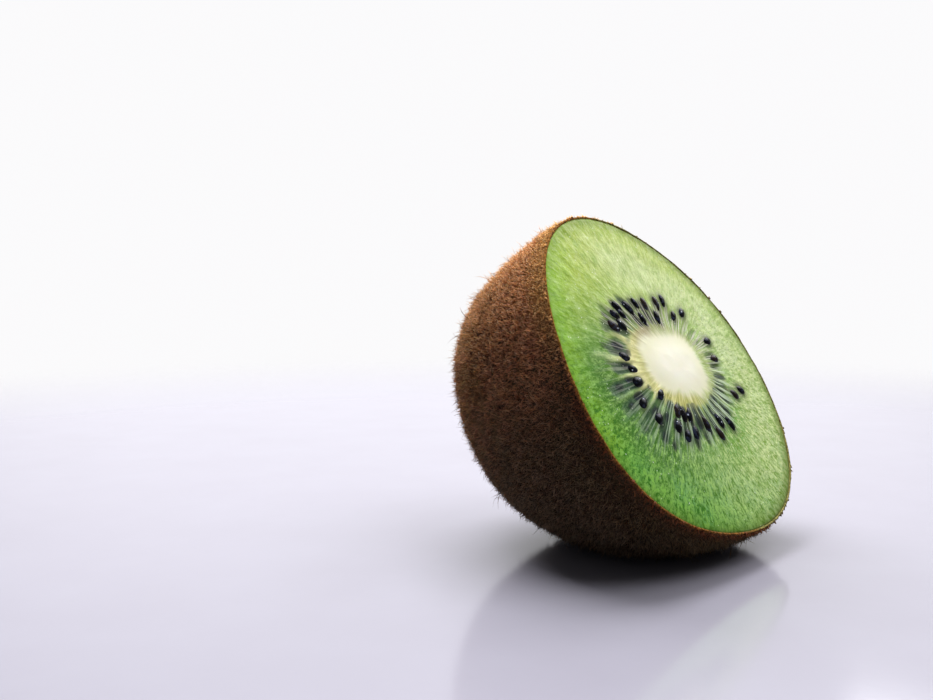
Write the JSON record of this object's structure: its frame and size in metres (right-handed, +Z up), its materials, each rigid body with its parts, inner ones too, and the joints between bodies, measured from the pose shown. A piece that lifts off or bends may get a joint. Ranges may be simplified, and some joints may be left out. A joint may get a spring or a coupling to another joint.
{
  "type": "kiwi fruit half",
  "caption": "Half of a kiwi fruit with fuzzy brown skin, leaning on its side with the green cut face, pale core and black seeds showing.",
  "frame": {"origin": "the middle of the flattened spot of skin that the fruit rests on", "axes": "+Z up; the cut face looks toward -Y and up, 59 degrees from level; +X lies along the face, level"},
  "size_m": [0.0522, 0.0471, 0.0483],
  "materials": {
    "fruit": "satin"
  },
  "bodies": {
    "root": {"kiwi_half": "fruit"}
  },
  "joints": []
}
